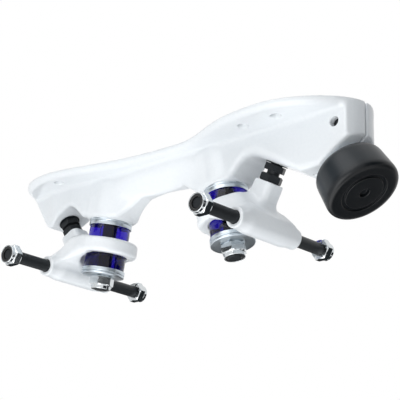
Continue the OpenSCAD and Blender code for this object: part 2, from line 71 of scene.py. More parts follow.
# The kingpin's line leans inboard and meets the boss's face.
KING_IN, BOSS_Z = 25.9, 31.5
BOSS_FACE = np.array([KING_IN + BOSS_Z * math.tan(KING_LEAN), 0.0, BOSS_Z])
KING_UP = np.array([math.sin(KING_LEAN), 0.0, math.cos(KING_LEAN)])

# The pivot's line leans outboard from the top of the hanger's neck to the plate.
NECK_TOP = np.array([-4.0, 0.0, 28.7])
PIVOT_UP = np.array([-math.sin(PIVOT_LEAN), 0.0, math.cos(PIVOT_LEAN)])
PIVOT_GAP = 12.2

# The toe stop's line, in the plate's frame, starts at the middle of its foot.
STOP_FOOT = np.array([FRONT_X + 74.1, 0.0, 6.2 - AXLE_DROP])
STOP_UP = np.array([-math.sin(STOP_LEAN), 0.0, math.cos(STOP_LEAN)])
PINCH = np.array([FRONT_X + 63.4, 0.0, 49.5 - AXLE_DROP])
print("kingpin meets its boss at", BOSS_FACE.round(2), "in a truck; toe stop's foot at", STOP_FOOT.round(2))

# %% Sizes that pieces share
# Room round a bolt in its bore, and round what fits closely, such as a ball in its cup.
BORE_ROOM, CLOSE_ROOM = 0.1, 0.06

# The kingpin's head lies in a recess in the sole face, and starts KING_HEAD_AT above the boss's face.
KING_R, KING_AF, KING_HEAD_H, RECESS_ROOM, HEAD_SUNK = 4.75, 14.3, 6.0, 0.8, 0.5
KING_BORE = KING_R + BORE_ROOM
KING_CORNER = KING_AF / math.sqrt(3)
RECESS_R = KING_CORNER + RECESS_ROOM
boss_to_sole = (AXLE_DROP - BOSS_Z) / math.cos(KING_LEAN)
KING_HEAD_AT = boss_to_sole - KING_HEAD_H - RECESS_R * math.tan(KING_LEAN) - HEAD_SUNK

# The pivot pin's ball and its cup, then the toe stop, then half a hanger and its axle's bare stub.
BALL_R, BALL_DEPTH, PIN_R, PIN_IN = 5.0, 7.0, 4.0, 12.0
SOCKET_R = BALL_R + CLOSE_ROOM
CUP_WALL = 1.6
CUP_R, CUP_FLOOR = SOCKET_R + CUP_WALL, BALL_DEPTH + SOCKET_R + CUP_WALL
STOP_H, STOP_GAP, STEM_IN, STEM_ROOM, STEM_R = 23.0, 5.5, 24.0, 4.5, 7.95
HANGER_HALF, STUB, PRESS_R = 28.7, 26.5, 4.3

# The stack on the kingpin: each _AT is how far below the boss's face a piece starts. A cushion reaches
# into a seat in the hanger's ring, and stops short of its floor by a little play.
WASHER_R, WASHER_T, RETAINER_T = 14.3, 1.8, 1.2
CUSHION_H, CUSHION_R, CUSHION_SWELL, PLAY = 12.0, 13.2, 0.4, 0.3
RING_H, RING_R, RING_HOLE_R, SEAT_H, SEAT_R = 10.0, 20.4, 8.0, 1.5, 13.9
UPPER_CUSHION_AT = WASHER_T + RETAINER_T
RING_AT = UPPER_CUSHION_AT + CUSHION_H + PLAY - SEAT_H
LOWER_CUSHION_AT = RING_AT + RING_H - SEAT_H + PLAY
KING_NUT_AT = LOWER_CUSHION_AT + CUSHION_H + RETAINER_T + WASHER_T
print("stack on the kingpin, boss to nut:", round(KING_NUT_AT, 2), "mm")


# %% Frames
def truck_to_plate(points, end):
    """A truck's points in the plate's frame: x is counted from the axle towards the waist."""
    out = np.array(points, float)
    away = 1.0 if end == "front" else -1.0
    out[:, 0] = away * (WHEELBASE / 2 - out[:, 0])
    out[:, 2] -= AXLE_DROP
    return out


def along(points, origin, up):
    """Points about a local z axis, set on a line through origin, with local z along up. Local x lies in
    the xz plane, at right angles to the line, and is the frame's own x where the line runs along y."""
    up = np.asarray(up, float)
    across = np.array([up[2], 0.0, -up[0]])
    reach = np.linalg.norm(across)
    across = across / reach if reach > 1e-9 else np.array([1.0, 0.0, 0.0])
    side = np.cross(up, across)
    return np.asarray(origin) + points @ np.array([across, side, up])


# %% [markdown]
# ## Finishes
# Seven finishes meet here: powder coat on the castings, black oxide, zinc and chrome on steel, and nylon,
# rubber and urethane. Each could carry an image texture, but a noise read in Object coordinates needs no
# unwrapping and keeps its grain size in millimetres on every piece. One function turns hex colours to
# linear light, and one adds a node with its settings and links.

# %% Material helpers
def colour(code):
    """An sRGB hex code as linear RGB with alpha 1: the standard curve, undone per channel."""
    v = np.array([int(code[i : i + 2], 16) for i in (1, 3, 5)]) / 255
    linear = np.where(v <= 0.04045, v / 12.92, ((v + 0.055) / 1.055) ** 2.4)
    return (*linear.tolist(), 1.0)


def add(tree, kind, settings=None, links=None):
    """Adds a node. Settings are attributes or input values, and links are sockets that feed inputs. An
    input goes by its name, or by its number where several share one name."""
    node = tree.nodes.new(kind)
    for key, value in (settings or {}).items():
        if isinstance(key, int) or key in node.inputs:
            node.inputs[key].default_value = value
        else:
            setattr(node, key, value)
    for key, socket in (links or {}).items():
        tree.links.new(socket, node.inputs[key])
    return node


def finish(name, **values):
    """A new material with its shader's own values set. Returns the material, its tree and its shader."""
    material = bpy.data.materials.new(name)
    material.use_nodes = True
    tree = material.node_tree
    shader = tree.nodes["Principled BSDF"]
    for key, value in values.items():
        shader.inputs[key.replace("_", " ")].default_value = value
    return material, tree, shader


# A colour mix node has several inputs named A and B: these are the numbers of its share and its colours.
SHARE, FIRST, SECOND, MIXED = 0, 6, 7, 2


def mottle(tree, shader, size_mm, dark, light, roughness, bump=0.0):
    """Colour, roughness and height vary with one noise of the given grain size, in Object coordinates."""
    place = add(tree, "ShaderNodeTexCoord")
    noise = add(tree, "ShaderNodeTexNoise", {"Scale": 1 / (size_mm * MM), "Detail": 3.0},
                {"Vector": place.outputs["Object"]})
    grain = noise.outputs["Fac"]
    mix = add(tree, "ShaderNodeMix", {"data_type": "RGBA", FIRST: colour(dark), SECOND: colour(light)},
              {SHARE: grain})
    tree.links.new(mix.outputs[MIXED], shader.inputs["Base Color"])
    smooth, rough = roughness
    spread = add(tree, "ShaderNodeMapRange", {"To Min": smooth, "To Max": rough}, {"Value": grain})
    tree.links.new(spread.outputs["Result"], shader.inputs["Roughness"])
    if bump:
        rise = add(tree, "ShaderNodeBump", {"Strength": 0.4, "Distance": bump * MM}, {"Height": grain})
        tree.links.new(rise.outputs["Normal"], shader.inputs["Normal"])


# %% White powder coat
# Powder coat over a casting: smooth and glossy, with a faint orange peel about 2 mm across.
powder_white, tree, shader = finish("powder_coat_white", IOR=1.5, Coat_Weight=0.35, Coat_Roughness=0.08)
mottle(tree, shader, 2.0, "#E9EDF0", "#F1F4F6", (0.26, 0.34), bump=0.012)

# %% Black oxide, zinc and chrome
# Black oxide on steel: a thin dark skin that leaves the metal's sheen, slightly uneven.
black_oxide, tree, shader = finish("black_oxide_steel", Metallic=0.4, Specular_IOR_Level=0.3)
mottle(tree, shader, 1.2, "#1D2023", "#2B2F32", (0.36, 0.5), bump=0.01)

# Bright zinc with a blue passivate: a soft metal mirror, cloudy over a few millimetres.
zinc_plate, tree, shader = finish("zinc_plated_steel", Metallic=1.0)
mottle(tree, shader, 3.0, "#BAC4CC", "#C9D1D7", (0.26, 0.36), bump=0.003)

# Polished chrome on the lock nuts: nearly a mirror.
chrome, tree, shader = finish("polished_chrome", Metallic=1.0)
mottle(tree, shader, 1.5, "#C6CBCE", "#D6DADC", (0.06, 0.14))

# %% Nylon and rubber
# Black nylon ring: moulded, dull.
nylon, tree, shader = finish("black_nylon", IOR=1.53)
mottle(tree, shader, 0.6, "#0C0D0E", "#151617", (0.45, 0.6), bump=0.01)

# Moulded black rubber: a fine grain of about half a millimetre, drawn a little coarser so that it shows,
# with a soft sheen. The colour also carries painted sheen: it turns from black at the toe stop's foot to a
# lighter grey up its side, with height above the foot, read along the stop's own line. The pivot cups,
# high above the foot, take the full painted grey.
rubber, tree, shader = finish("moulded_black_rubber", IOR=1.52, Specular_IOR_Level=0.3)
mottle(tree, shader, 0.7, "#080B0E", "#0D1115", (0.28, 0.38), bump=0.03)
foot_black = shader.inputs["Base Color"].links[0].from_socket
# Heights above the foot over which the painted sheen grey comes in.
SHEEN_FROM, SHEEN_FULL = 0.5, 7.0
foot_at = float(STOP_FOOT @ STOP_UP)
place = add(tree, "ShaderNodeTexCoord")
height = add(tree, "ShaderNodeVectorMath", {"operation": "DOT_PRODUCT", 1: STOP_UP},
             {0: place.outputs["Object"]})
rise = add(tree, "ShaderNodeMapRange",
           {"From Min": (foot_at + SHEEN_FROM) * MM, "From Max": (foot_at + SHEEN_FULL) * MM},
           {"Value": height.outputs["Value"]})
# Painted sheen: a lighter grey mixed into the rubber's colour with height, so the side reads lit.
painted_sheen_grey = add(tree, "ShaderNodeMix", {"data_type": "RGBA", SECOND: colour("#20262B")},
                {SHARE: rise.outputs["Result"], FIRST: foot_black})
tree.links.new(painted_sheen_grey.outputs[MIXED], shader.inputs["Base Color"])


# %% Urethane
def cast_urethane(name, dark, light):
    """Cast urethane, blue-violet and clear enough to show the dark bolt inside it. Light passes through
    the whole barrel, so the colour reads deeper than the hex codes."""
    material, tree, shader = finish(name, IOR=1.38, Transmission_Weight=1.0, Specular_IOR_Level=0.12)
    mottle(tree, shader, 6.0, dark, light, (0.08, 0.12))
    return material


# The lower cushions get a darker copy of the same urethane: painted shade, for the shade they sit in under
# the hanger's ring.
urethane = {
    "upper": cast_urethane("cast_blue_urethane", "#2617A6", "#2A1BAC"),
    "lower": cast_urethane("cast_blue_urethane_painted_shade", "#170E84", "#1B118C"),
}

# %% [markdown]
# ## From arrays to pieces
# A piece is a list of points and a list of faces, worked out as whole arrays. It is put into a mesh at
# the object's own origin, so that patterns read from Object coordinates stay where they are. Each piece
# takes the place of one CAD node and moves with one body, where one is given.

# %% Arrays into a piece
def make_piece(node, made, points, faces, material, body=None, name=None):
    """Points in millimetres and faces (quads or triangles) become an object at the origin. It is named for
    its node and for how the real piece is made, unless it has a name of its own."""
    name = name or f"{node}_{made}"
    mesh = bpy.data.meshes.new(name)
    mesh.from_pydata((np.asarray(points) * MM).tolist(), [], faces)
    mesh.polygons.foreach_set("use_smooth", np.full(len(mesh.polygons), True))
    mesh.materials.append(material)
    mesh.update()
    mesh.validate()
    piece = bpy.data.objects.new(name, mesh)
    bpy.context.collection.objects.link(piece)
    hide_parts(node)
    if body:
        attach(piece, body)
    return piece


def turn_out(faces, mirrored):
    """Faces with their order reversed where a mirror image has turned the piece inside out."""
    return [f[::-1] for f in faces] if mirrored else faces


# %% [markdown]
# ## Castings as distance fields
# The plate and the hangers are cast: every face runs into the next by a fillet, so no two-parameter
# sheet fits them. They could be box-modelled and bevelled, but fillets between leaning cylinders and
# drafted walls break bevels. Here each casting is a field that gives the distance to its surface.
# Simple solids are joined and cut with a rounded corner of a chosen radius, and the surface is then
# laid through the points where the field is zero.

# %% Field operations
def join(a, b, r):
    """Both solids together, with a fillet of radius r in the corner between them."""
    corner = np.hypot(np.maximum(r - a, 0), np.maximum(r - b, 0))
    return np.maximum(r, np.minimum(a, b)) - corner


def common(a, b, r):
    """What both solids share, with an outer edge of radius r."""
    edge = np.hypot(np.maximum(r + a, 0), np.maximum(r + b, 0))
    return np.minimum(-r, np.maximum(a, b)) + edge


def cut_away(a, b, r):
    """Solid a without solid b, the rim of the cut rounded by r."""
    return common(a, -b, r)


def outline_distance(x, y, outline):
    """Distance from (x, y) to a closed outline, negative inside. The distance is the least over all sides,
    and a point is inside when a ray from it crosses the outline an odd number of times."""
    x, y = np.broadcast_arrays(x, y)
    nearest = np.full(x.shape, np.inf)
    inside = np.zeros(x.shape, bool)
    for (ax, ay), (bx, by) in zip(outline, np.roll(outline, -1, 0)):
        ex, ey = bx - ax, by - ay
        t = np.clip(((x - ax) * ex + (y - ay) * ey) / (ex * ex + ey * ey), 0, 1)
        nearest = np.minimum(nearest, (x - ax - t * ex) ** 2 + (y - ay - t * ey) ** 2)
        crosses = (ay > y) != (by > y)
        if ay != by:
            inside ^= crosses & (x < ax + (y - ay) * ex / ey)
    return np.where(inside, -1, 1) * np.sqrt(nearest)


def about(x, y, z, origin, up):
    """Distance from a line through origin along up, and height along it. The line lies in the xz plane."""
    px, py, pz = x - origin[0], y - origin[1], z - origin[2]
    height = px * up[0] + pz * up[2]
    return np.hypot(px * up[2] - pz * up[0], py), height


def bell(x, middle, width):
    """A smooth bump of height 1: e to the power of minus the square of (x - middle) / width."""
    return np.exp(-(((x - middle) / width) ** 2))


# %% Surface through a field's zero
def slope_of(field, x, y, z, small=0.05):
    """How fast a field grows along x, y and z: its change over a small step each way, over that step."""
    across = [
        field(x + small, y, z) - field(x - small, y, z),
        field(x, y + small, z) - field(x, y - small, z),
        field(x, y, z + small) - field(x, y, z - small),
    ]
    return np.stack(across, -1) / (2 * small)


def skin(field, low, high, step):
    """The surface where a field is zero, as quads on a grid of cells. Each cell that the surface passes
    through gets one point: the mean of where its edges cross zero, then moved along the field's slope onto
    the surface. Each grid edge that changes sign gets a quad through the four cells round it."""
    axes = [np.arange(a, b + step, step) for a, b in zip(low, high)]
    x, y, z = np.meshgrid(*axes, indexing="ij", sparse=True)
    d = np.broadcast_to(field(x, y, z), [len(a) for a in axes]).astype(np.float32)
    inside = d < 0
    size = [len(a) - 1 for a in axes]
    corners = [(i, j, k) for i in (0, 1) for j in (0, 1) for k in (0, 1)]
    count = np.zeros(size, np.int8)
    for c in corners:
        count += inside[tuple(slice(c[m], c[m] + size[m]) for m in range(3))]
    cells = np.argwhere((count > 0) & (count < len(corners)))
    value = {c: d[tuple((cells + c).T)] for c in corners}
    total, hits = np.zeros((len(cells), 3)), np.zeros(len(cells))
    for c in corners:
        for axis in range(3):
            if c[axis]:
                continue
            e = tuple(v + (m == axis) for m, v in enumerate(c))
            crossing = (value[c] < 0) != (value[e] < 0)
            share = np.where(crossing, value[c] / np.where(crossing, value[c] - value[e], 1), 0)
            point = np.array(c, float)[None].repeat(len(cells), 0)
            point[:, axis] += share
            total += point * crossing[:, None]
            hits += crossing
    points = np.array(low) + (cells + total / hits[:, None]) * step
    number = np.full(size, -1)
    number[tuple(cells.T)] = np.arange(len(cells))
    quads = []
    one = np.eye(3, dtype=int)
    for axis in range(3):
        u, v = (axis + 1) % 3, (axis + 2) % 3
        near = tuple(slice(0, d.shape[m] - (m == axis)) for m in range(3))
        far = tuple(slice(int(m == axis), d.shape[m]) for m in range(3))
        edges = np.argwhere(inside[near] != inside[far])
        within = (edges[:, u] > 0) & (edges[:, v] > 0) & (edges[:, u] < size[u]) & (edges[:, v] < size[v])
        edges = edges[within]
        around = [edges - one[u] - one[v], edges - one[v], edges, edges - one[u]]
        quad = np.stack([number[tuple(c.T)] for c in around], -1)
        leaving = inside[tuple(edges.T)]
        quads.append(np.where(leaving[:, None], quad, quad[:, ::-1]))
    for _ in range(2):
        slope = slope_of(field, *points.T)
        steep = np.maximum((slope**2).sum(1), 0.25)
        move = slope * (field(*points.T) / steep)[:, None]
        points -= np.clip(move, -0.5 * step, 0.5 * step)
    return points, np.concatenate(quads).tolist()


# %% [markdown]
# ## The plate
# The plate is one casting. Its flange has the sole's outline. Under it runs a deep web: wide round the
# pivots and the toe stop's stem, and drawn in to a thin keel between the trucks. Two round bosses take
# the kingpins, and the toe is slit so that a bolt can pinch the stem. The outlines are drawn first, as
# curves and rounded corners, and the field then crosses the plan with the side view.

# %% Curves and rounded corners
def curve(control, steps=18):
    """Points on a cubic curve with four control points, its end left out."""
    t = np.arange(steps)[:, None] / steps
    p = np.asarray(control, float)
    return (1 - t) ** 3 * p[0] + 3 * t * (1 - t) ** 2 * p[1] + 3 * t**2 * (1 - t) * p[2] + t**3 * p[3]


def rounded(points, steps=4, closed=False):
    """An outline [x, y, radius] whose corners become arcs that touch both neighbouring lines. The arc is
    drawn as a quadratic curve from one touching point to the other, with the corner as its handle."""
    p = np.asarray(points, float)
    out = []
    for i, (x, y, radius) in enumerate(p):
        here = np.array([x, y])
        if radius <= 0 or (not closed and i in (0, len(p) - 1)):
            out.append(here[None])
            continue
        back, on = p[i - 1, :2] - here, p[(i + 1) % len(p), :2] - here
        reach_back, reach_on = np.linalg.norm(back), np.linalg.norm(on)
        cosine = np.clip(back @ on / reach_back / reach_on, -0.9999, 0.9999)
        cut = min(radius / math.tan(math.acos(cosine) / 2), 0.49 * reach_back, 0.49 * reach_on)
        a, b = here + back / reach_back * cut, here + on / reach_on * cut
        t = np.linspace(0, 1, steps + 1)[:, None]
        out.append((1 - t) ** 2 * a + 2 * t * (1 - t) * here + t**2 * b)
    return np.concatenate(out)


# %% Sole outline and web plan
# Half widths at the heel, the waist and the ball of the foot, and where along the plate they lie.
HEEL, WAIST, BALL = 35.4, 20.6, 39.8
heel_x, waist_x, ball_x = REAR_X + 4, REAR_X + 108, FRONT_X + 26
heel_end, toe_end = REAR_X - 37.5, FRONT_X + 77.0
left_edge = np.concatenate([
    curve([(heel_end, 0), (heel_end, HEEL * 0.6), (heel_x - 25, HEEL), (heel_x, HEEL)]),
    curve([(heel_x, HEEL), (heel_x + 28, HEEL), (waist_x - 62, WAIST), (waist_x, WAIST)]),
    curve([(waist_x, WAIST), (waist_x + 26, WAIST), (ball_x - 48, BALL), (ball_x, BALL)]),
    curve([(ball_x, BALL), (ball_x + 22, BALL), (toe_end, BALL * 0.5), (toe_end, 0)]),
])
sole_outline = np.concatenate([left_edge, [[toe_end, 0]], left_edge[:0:-1] * [1, -1]])

# Half widths of the web. Past its ends the sole outline cuts it off.
WEB, BLOCK, HEEL_TIP, TOE_TIP, WEB_PAST = 13.0, 16.0, 9.0, 14.5, 1.0
web_left = [(heel_end - WEB_PAST, HEEL_TIP), (REAR_X + 8, BLOCK), (REAR_X + 38, WEB), (FRONT_X - 20, WEB),
            (toe_end + WEB_PAST, TOE_TIP)]
web_plan = np.array(web_left + [(x, -y) for x, y in web_left[::-1]])
print("sole outline", len(sole_outline), "points,", round(toe_end - heel_end, 1), "mm long")

# %% Web side view
FLANGE_T = 5.0
BOSS_R = 14.8
pivot_seat = NECK_TOP + PIVOT_GAP * PIVOT_UP
stop_seat = STOP_FOOT + (STOP_H + STOP_GAP) * STOP_UP
pivot_rise, stop_rise = math.tan(PIVOT_LEAN), math.tan(STOP_LEAN)
boss_side, boss_drop = BOSS_R * math.cos(KING_LEAN), BOSS_R * math.sin(KING_LEAN)


def pivot_face(out):
    """Height of the pivot housing's sloping underside, at a distance outboard of the axle."""
    return pivot_seat[2] + (-pivot_seat[0] - out) * pivot_rise


def stop_face(x):
    """Height of the toe's sloping underside, which the stop faces, in the plate's frame."""
    return stop_seat[2] + (x - stop_seat[0]) * stop_rise


# The heel block leans back by 33 degrees from upright, and the toe block's low corner is cut off level.
HEEL_BACK, HEEL_LEAN, TOE_FLAT = 36.5, math.radians(33), 4.5
back_rise = 1 / math.tan(HEEL_LEAN)
heel_low = (HEEL_BACK * back_rise - AXLE_DROP + FLANGE_T + pivot_face(0)) / (back_rise + pivot_rise)
toe_low = (pivot_face(0) - AXLE_DROP - stop_face(FRONT_X)) / (stop_rise + pivot_rise)
toe_z = pivot_face(toe_low) + TOE_FLAT - AXLE_DROP

# The keel's underside, and the ramp of 35 degrees that leads to it from a boss.
KEEL_DEPTH, RAMP = 22.0, math.radians(35)
keel_z = AXLE_DROP - KEEL_DEPTH
keel_from = BOSS_FACE[0] + boss_side + (keel_z - BOSS_Z + boss_drop) / math.tan(RAMP)
ARCH_IN, INTO_BOSS, INTO_FLANGE = 5.0, 0.6, -FLANGE_T / 2
truck_under = [
    (ARCH_IN, pivot_face(-ARCH_IN), 14),
    (BOSS_FACE[0] - boss_side, BOSS_Z + boss_drop + INTO_BOSS, 0),
    (BOSS_FACE[0] + boss_side, BOSS_Z - boss_drop + INTO_BOSS, 0),
    (keel_from, keel_z, 4),
]
heel_corners = [
    (REAR_X - HEEL_BACK, INTO_FLANGE, 0),
    (REAR_X - HEEL_BACK, -FLANGE_T, 0),
    (REAR_X - heel_low, pivot_face(heel_low) - AXLE_DROP, 6),
]
toe_corners = [
    (FRONT_X + toe_low - TOE_FLAT / pivot_rise, toe_z, 3),
    (FRONT_X + toe_low + TOE_FLAT / stop_rise, toe_z, 3),
    (toe_end + WEB_PAST, stop_face(toe_end + WEB_PAST), 0),
    (toe_end + WEB_PAST, INTO_FLANGE, 0),
]
rear_under = [(REAR_X + x, z - AXLE_DROP, r) for x, z, r in truck_under]
front_under = [(FRONT_X - x, z - AXLE_DROP, r) for x, z, r in truck_under[::-1]]
web_side = rounded(heel_corners + rear_under + front_under + toe_corners, 6, closed=True)
print("web side", len(web_side), "points")


# %% Keel
# Half width of the keel, the heights between which its sides are drafted, and how it tapers to the bosses.
KEEL, KEEL_LOW, KEEL_HIGH, KEEL_BACK, KEEL_TAPER = 3.5, -21.0, -6.0, 4.0, 26.0


def line_side(u, v, start, end):
    """Signed distance in a plane from the line that runs from end to start, positive on its left."""
    run = (np.array(start) - end) / np.linalg.norm(np.array(start) - end)
    return (v - end[1]) * run[0] - (u - end[0]) * run[1]


def keel_sides(x, y, z):
    """Positive where the web is drawn in: outside the drafted keel and between the two tapers."""
    draft = -line_side(np.abs(y), z, (BLOCK + 1, KEEL_HIGH), (KEEL, KEEL_LOW))
    far = WHEELBASE / 2 - BOSS_FACE[0] - KEEL_BACK
    taper = line_side(np.abs(x), np.abs(y), (far, BLOCK + 1), (far - KEEL_TAPER, KEEL - 1))
    return join(draft, taper, 10.0)


# %% Web
# How the web's walls depart from flat: edge roundings, then the rear housing's draft and belly.
WEB_EDGE, TOE_EDGE, HEEL_EDGE, EDGE_SPREAD = 3.2, 4.0, -1.2, 16.0
HEEL_DRAFT, DRAFT_FROM = 0.12, FLANGE_T + 3
HEEL_BELLY, BELLY_SPREAD = 2.2, 8.0


def plate_web(x, y, z, sole):
    """Plan and side view crossed. The lower edges are rounded by 3.2 mm, more at the toe and less at the
    heel, as bell curves of x. The rear housing's walls lean in with depth and swell by a bell curve."""
    heel, toe = bell(x, REAR_X - 12, EDGE_SPREAD), bell(x, FRONT_X + 8, EDGE_SPREAD)
    edge = WEB_EDGE + TOE_EDGE * toe + HEEL_EDGE * heel
    draft = HEEL_DRAFT * heel * np.maximum(-z - DRAFT_FROM, 0)
    belly = HEEL_BELLY * bell(x, REAR_X - 10, BELLY_SPREAD)
    web = common(outline_distance(x, y, web_plan) + draft - belly, outline_distance(x, z, web_side), edge)
    return common(common(web, sole, 1.0), keel_sides(x, y, z), 2.5)


# %% Holes
# The slit and how far it runs past the stem, the sole's bolt holes, and the bolt that pinches the slit.
SLIT_HALF, SLIT_PAST = 0.8, 6.0
HOLE_ROWS, HOLE_SIDE, HOLE_R = (REAR_X + 5, FRONT_X + 3.5, FRONT_X + 28.9), 25.4, 3.3
PINCH_R, PINCH_HEAD_R, PINCH_HEAD_H = 3.0, 5.0, 6.0
PINCH_HEAD_AT = TOE_TIP - 8


def in_truck(x, y, z):
    """The two trucks share one frame: x inboard of the nearer axle, z above the axles."""
    return WHEELBASE / 2 - np.abs(x), y, z + AXLE_DROP


def plate_holes(d, x, y, z, king, king_h):
    """A solid cut for the kingpins and their heads, the pivot cups, the toe stop's stem and its slit, the
    pinch bolt and the sole's bolts. Each cut is a round or flat-sided solid with a softened rim."""
    d = cut_away(d, king - KING_BORE, 0.3)
    d = cut_away(d, np.maximum(king - RECESS_R, KING_HEAD_AT - king_h), 0.5)
    pin, pin_h = about(*in_truck(x, y, z), NECK_TOP, PIVOT_UP)
    cup_h = np.abs(pin_h - PIVOT_GAP - CUP_FLOOR / 2)
    d = cut_away(d, np.maximum(pin - CUP_R, cup_h - CUP_FLOOR / 2 - 0.5), 0.5)
    stem, stem_h = about(x, y, z, STOP_FOOT, STOP_UP)
    mouth, bottom = STOP_H + STOP_GAP - 1, STOP_H + STOP_GAP + STEM_IN + STEM_ROOM
    stem_ends = np.maximum(mouth - stem_h, stem_h - bottom)
    d = cut_away(d, np.maximum(stem - (STEM_R + CLOSE_ROOM), stem_ends), 0.6)
    slit_from = stop_seat[0] - (STEM_IN + STEM_ROOM) * math.sin(STOP_LEAN) - SLIT_PAST
    d = cut_away(d, np.maximum(np.abs(y) - SLIT_HALF, slit_from - x), 0.4)
    bolt = np.hypot(x - PINCH[0], z - PINCH[2])
    d = cut_away(d, bolt - (PINCH_R + BORE_ROOM), 0.5)
    d = cut_away(d, np.maximum(bolt - (PINCH_HEAD_R + 0.5), PINCH_HEAD_AT - y), 0.5)
    for row in HOLE_ROWS:
        d = cut_away(d, np.hypot(x - row, np.abs(y) - HOLE_SIDE) - HOLE_R, 0.6)
    return d


# %% Plate field
# How far each boss reaches up into the web.
BOSS_IN = 25.0


def plate_field(x, y, z):
    """Web, bosses and flange joined by 3 mm fillets, trimmed to the sole's outline, then cut for every bolt,
    cup and stem. The flange's lower edge is rounded by 4 mm and its upper edge by 0.8 mm."""
    sole = outline_distance(x, y, sole_outline)
    flange = common(common(sole, -z - FLANGE_T, 4.0), z, 0.8)
    king, king_h = about(*in_truck(x, y, z), BOSS_FACE, KING_UP)
    boss = common(king - BOSS_R, np.maximum(-king_h, king_h - BOSS_IN), 1.2)
    d = join(join(plate_web(x, y, z, sole), boss, 3.0), flange, 3.0)
    d = common(common(d, sole, 0.6), z, 0.6)
    return plate_holes(d, x, y, z, king, king_h)


# %% Plate mesh
grid_mm = 0.85
points, faces = skin(plate_field, (heel_end - 2, -42, -46), (toe_end + 2, 42, 2), grid_mm)
make_piece("plate", "casting", points, faces, powder_white, "plate")
print("plate", len(points), "points", len(faces), "faces")

# %% [markdown]
# ## The hangers
# Each hanger carries an axle. It is a casting too: a ring that sits between the two cushions, a yoke
# from the ring to the axle tube, arms that taper to a boss at each wheel, and a square neck that takes
# the pivot pin. The same field operations serve, in a truck's own frame, and one mesh makes both.

# %% Hanger outlines
BODY, BODY_IN = 16.5, 21.0
TUBE_R, TUBE_END_R, TUBE_TAPER = 7.7, 6.75, 8.2
ring_mid = BOSS_FACE - RING_AT * KING_UP
ring_top = ring_mid + RING_R * np.array([-KING_UP[2], 0.0, KING_UP[0]])
ring_low = ring_mid[2] - RING_H / KING_UP[2] + (ring_mid[0] - BODY_IN) * math.tan(KING_LEAN)

# The body seen from the axle's side and from its end, and the yoke seen along the kingpin.
body_top = (BODY - 7, ring_top[2] + 1)
flank_bend = (BODY + 3.5, body_top[1] * 0.75)
flank_curve = curve([(HANGER_HALF - 3.2, 2), (BODY + 5, 8.1), flank_bend, body_top], 12)
flank = np.concatenate([flank_curve, [body_top]])
body_front = np.concatenate([flank, flank[::-1] * [-1, 1]])
body_side = rounded(
    [(-6.45, 0, 0), (-6.05, 5.7, 2), (-2.4, 11.9, 3), (ring_top[0], ring_top[2] - 0.8, 0),
     (BODY_IN, ring_top[2] - 3, 0), (BODY_IN, ring_low - 1.2, 0), (6.65, -1, 0), (0, -1, 0)], closed=True)
YOKE_BACK, YOKE_HALF = -20.9, 19.2
yoke_plan = rounded(
    [(0, YOKE_HALF, 0), (YOKE_BACK, BODY, 8), (YOKE_BACK, -BODY, 8), (0, -YOKE_HALF, 0)], 5, closed=True)

# A gusset fills the corner between the neck and the ring.
GUSSET_T, GUSSET_HALF = 4.8, 6.3
gusset_top = NECK_TOP + 7.1 * np.array([PIVOT_UP[2], 0.0, -PIVOT_UP[0]]) - PIVOT_UP
gusset_foot = ring_top + 3 * np.array([KING_UP[2], 0.0, -KING_UP[0]]) - [0, 0, 0.5]
gusset_back = NECK_TOP - 8 * PIVOT_UP
gusset_low = gusset_foot - [0, 0, GUSSET_T]
gusset_side = np.array([gusset_top, gusset_back, gusset_low - [6, 0, 0], gusset_low, gusset_foot])[:, ::2]
print("hanger ring's top at", ring_top.round(2))


# %% Hanger field
NECK_HALF, NECK_CORNER, NECK_H = 7.5, 4.0, 22.0
ROOM_LOW_R, ROOM_DRAFT, ROOM_HIGH_R, ROOM_GAP = 15.3, 0.18, 15.6, 0.6


def arm_radius(y):
    """Radius of the axle tube at a distance from the middle: 7.7 mm, drawn in to 6.75 mm before the wheel."""
    t = np.clip((np.abs(y) - BODY) / TUBE_TAPER, 0, 1)
    return TUBE_R - (TUBE_R - TUBE_END_R) * t * t * (3 - 2 * t)


def hanger_neck(x, y, z, pin_h):
    """A square bar with rounded corners along the pivot's line, and the gusset under it."""
    px = (x - NECK_TOP[0]) * PIVOT_UP[2] - (z - NECK_TOP[2]) * PIVOT_UP[0]
    flat = NECK_HALF - NECK_CORNER
    square = np.hypot(np.maximum(np.abs(px) - flat, 0), np.maximum(np.abs(y) - flat, 0)) - NECK_CORNER
    neck = common(square, np.maximum(pin_h, -pin_h - NECK_H), 0.8)
    gusset = common(outline_distance(x, z, gusset_side), np.abs(y) - GUSSET_HALF, 2.5)
    return join(neck, gusset, 1.5)


